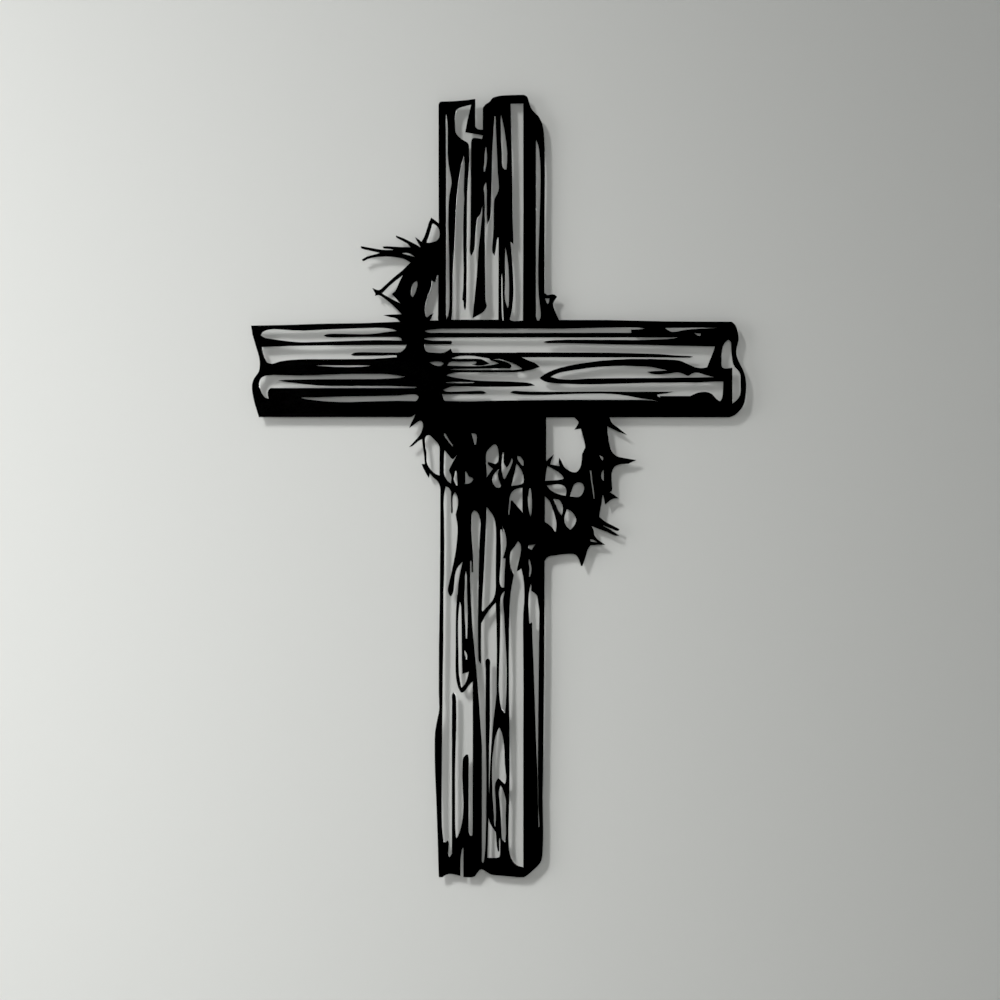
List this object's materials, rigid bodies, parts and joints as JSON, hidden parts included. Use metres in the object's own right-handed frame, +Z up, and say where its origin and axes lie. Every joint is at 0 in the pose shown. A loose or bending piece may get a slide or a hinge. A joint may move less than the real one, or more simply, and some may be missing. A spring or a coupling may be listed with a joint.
{
  "type": "wall cross",
  "caption": "Wall cross cut from flat black sheet steel, with open wood grain and a crown of thorns, on round stand-offs that hold it off the wall.",
  "frame": {"origin": "middle of the hub stand-off's wall face, on the wall, behind the crossing at the crossbar's lower edge", "axes": "+Z up the upright, +X to the right as seen from the front, +Y into the wall; the front faces -Y"},
  "size_m": [0.3864, 0.01, 0.6104],
  "materials": {
    "cross_sheet": "matte black powder coat",
    "standoff": "matte black powder coat"
  },
  "bodies": {
    "root": {"cross_sheet": "cross_sheet", "standoff_hub": "standoff", "standoff_top": "standoff", "standoff_foot": "standoff", "standoff_left": "standoff", "standoff_right": "standoff"}
  },
  "joints": []
}
